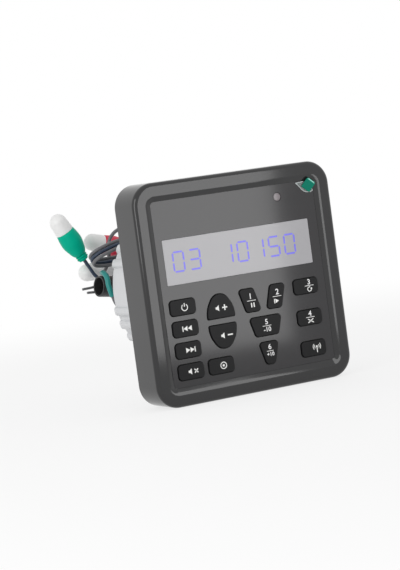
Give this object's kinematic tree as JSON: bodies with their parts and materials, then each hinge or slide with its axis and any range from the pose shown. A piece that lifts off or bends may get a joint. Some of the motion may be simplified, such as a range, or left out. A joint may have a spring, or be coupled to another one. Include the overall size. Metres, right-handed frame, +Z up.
{
  "type": "marine stereo",
  "caption": "Square flush-mount marine stereo with glossy black bezel, pale display, silicone key field, finned round housing behind the dash, and capped plug leads with an antenna socket",
  "frame": {"origin": "centre of the plane in which the bezel's rear rim meets the dash", "axes": "X to the right seen from the front, +Y to the back through the dash, +Z up; metres"},
  "size_m": [0.1211, 0.1196, 0.116],
  "materials": {
    "bezel_plastic": "satin black moulding",
    "panel_plastic": "glossy black panel",
    "window_clear": "clear window over a pale display",
    "sensor_clear": "smoked sensor window",
    "film_green": "green film tab",
    "key_rubber": "dark silicone",
    "board_green": "circuit board",
    "contact_brass": "gold plated",
    "contact_plated": "nickel plated",
    "display_glass": "display glass",
    "backlight_white": "light guide",
    "frame_metal": "stamped sheet",
    "chip_black": "moulded package",
    "screw_steel": "plain screw",
    "connector_ivory": "connector body",
    "ribbon_grey": "ribbon",
    "housing_cast": "die-cast, satin",
    "seal_rubber": "soft black rubber",
    "capacitor_blue": "sleeved can",
    "coil_brass": "enamelled copper",
    "lead_navy": "navy sheath",
    "lead_grey": "grey sheath",
    "plug_green": "moulded green",
    "plug_red": "moulded red",
    "plug_white": "moulded white",
    "cap_white": "milky cap",
    "socket_black": "moulded black",
    "sleeve_teal": "shrunk sleeve",
    "tie_grey": "coated wire"
  },
  "bodies": {
    "chassis": {"front_bezel": "bezel_plastic", "face_panel": "panel_plastic", "display_window": "window_clear", "sensor_window": "sensor_clear", "film_pull_tab": "film_green", "keypad_mat": "key_rubber", "front_board": "board_green", "contact_pads": "contact_brass", "display_glass": "display_glass", "display_backlight": "backlight_white", "display_frame": "frame_metal", "remote_sensor": "chip_black", "control_chip": "chip_black", "front_board_screws": "screw_steel", "ribbon_connectors": "connector_ivory", "ribbon_cable": "ribbon_grey", "back_plate": "housing_cast", "rear_housing": "housing_cast", "housing_seal": "seal_rubber", "housing_screws": "screw_steel", "dash_gasket": "seal_rubber", "main_board": "board_green", "main_board_screws": "screw_steel", "amplifier_chip": "chip_black", "amplifier_clamp": "frame_metal", "clamp_screws": "screw_steel", "filter_capacitors": "capacitor_blue", "choke_coil": "coil_brass", "tuner_module": "frame_metal", "cable_grommet": "seal_rubber", "lead_green": "lead_navy", "lead_red": "lead_grey", "lead_white": "lead_grey", "lead_antenna": "lead_grey", "plug_green": "plug_green", "plug_red": "plug_red", "plug_white": "plug_white", "cap_green": "cap_white", "cap_red": "cap_white", "cap_white": "cap_white", "plug_contacts": "contact_plated", "antenna_socket": "socket_black", "antenna_contact": "contact_brass", "lead_sleeve": "sleeve_teal", "twist_tie": "tie_grey"},
    "key_power_body": {"key_power": "key_rubber"},
    "key_previous_body": {"key_previous": "key_rubber"},
    "key_next_body": {"key_next": "key_rubber"},
    "key_mute_body": {"key_mute": "key_rubber"},
    "key_select_body": {"key_select": "key_rubber"},
    "key_volume_up_body": {"key_volume_up": "key_rubber"},
    "key_volume_down_body": {"key_volume_down": "key_rubber"},
    "key_preset_1_body": {"key_preset_1": "key_rubber"},
    "key_preset_2_body": {"key_preset_2": "key_rubber"},
    "key_preset_3_body": {"key_preset_3": "key_rubber"},
    "key_preset_4_body": {"key_preset_4": "key_rubber"},
    "key_preset_5_body": {"key_preset_5": "key_rubber"},
    "key_preset_6_body": {"key_preset_6": "key_rubber"},
    "key_band_body": {"key_band": "key_rubber"}
  },
  "joints": [
    {"name": "power_press", "type": "slide", "parent": "chassis", "child": "key_power_body", "axis": [0, 1, 0], "range_m": [0, 0.0008], "stiffness_N_per_m": 1500},
    {"name": "previous_press", "type": "slide", "parent": "chassis", "child": "key_previous_body", "axis": [0, 1, 0], "range_m": [0, 0.0008], "stiffness_N_per_m": 1500},
    {"name": "next_press", "type": "slide", "parent": "chassis", "child": "key_next_body", "axis": [0, 1, 0], "range_m": [0, 0.0008], "stiffness_N_per_m": 1500},
    {"name": "mute_press", "type": "slide", "parent": "chassis", "child": "key_mute_body", "axis": [0, 1, 0], "range_m": [0, 0.0008], "stiffness_N_per_m": 1500},
    {"name": "select_press", "type": "slide", "parent": "chassis", "child": "key_select_body", "axis": [0, 1, 0], "range_m": [0, 0.0008], "stiffness_N_per_m": 1500},
    {"name": "volume_up_press", "type": "slide", "parent": "chassis", "child": "key_volume_up_body", "axis": [0, 1, 0], "range_m": [0, 0.0008], "stiffness_N_per_m": 1500},
    {"name": "volume_down_press", "type": "slide", "parent": "chassis", "child": "key_volume_down_body", "axis": [0, 1, 0], "range_m": [0, 0.0008], "stiffness_N_per_m": 1500},
    {"name": "preset_1_press", "type": "slide", "parent": "chassis", "child": "key_preset_1_body", "axis": [0, 1, 0], "range_m": [0, 0.0008], "stiffness_N_per_m": 1500},
    {"name": "preset_2_press", "type": "slide", "parent": "chassis", "child": "key_preset_2_body", "axis": [0, 1, 0], "range_m": [0, 0.0008], "stiffness_N_per_m": 1500},
    {"name": "preset_3_press", "type": "slide", "parent": "chassis", "child": "key_preset_3_body", "axis": [0, 1, 0], "range_m": [0, 0.0008], "stiffness_N_per_m": 1500},
    {"name": "preset_4_press", "type": "slide", "parent": "chassis", "child": "key_preset_4_body", "axis": [0, 1, 0], "range_m": [0, 0.0008], "stiffness_N_per_m": 1500},
    {"name": "preset_5_press", "type": "slide", "parent": "chassis", "child": "key_preset_5_body", "axis": [0, 1, 0], "range_m": [0, 0.0008], "stiffness_N_per_m": 1500},
    {"name": "preset_6_press", "type": "slide", "parent": "chassis", "child": "key_preset_6_body", "axis": [0, 1, 0], "range_m": [0, 0.0008], "stiffness_N_per_m": 1500},
    {"name": "band_press", "type": "slide", "parent": "chassis", "child": "key_band_body", "axis": [0, 1, 0], "range_m": [0, 0.0008], "stiffness_N_per_m": 1500}
  ]
}
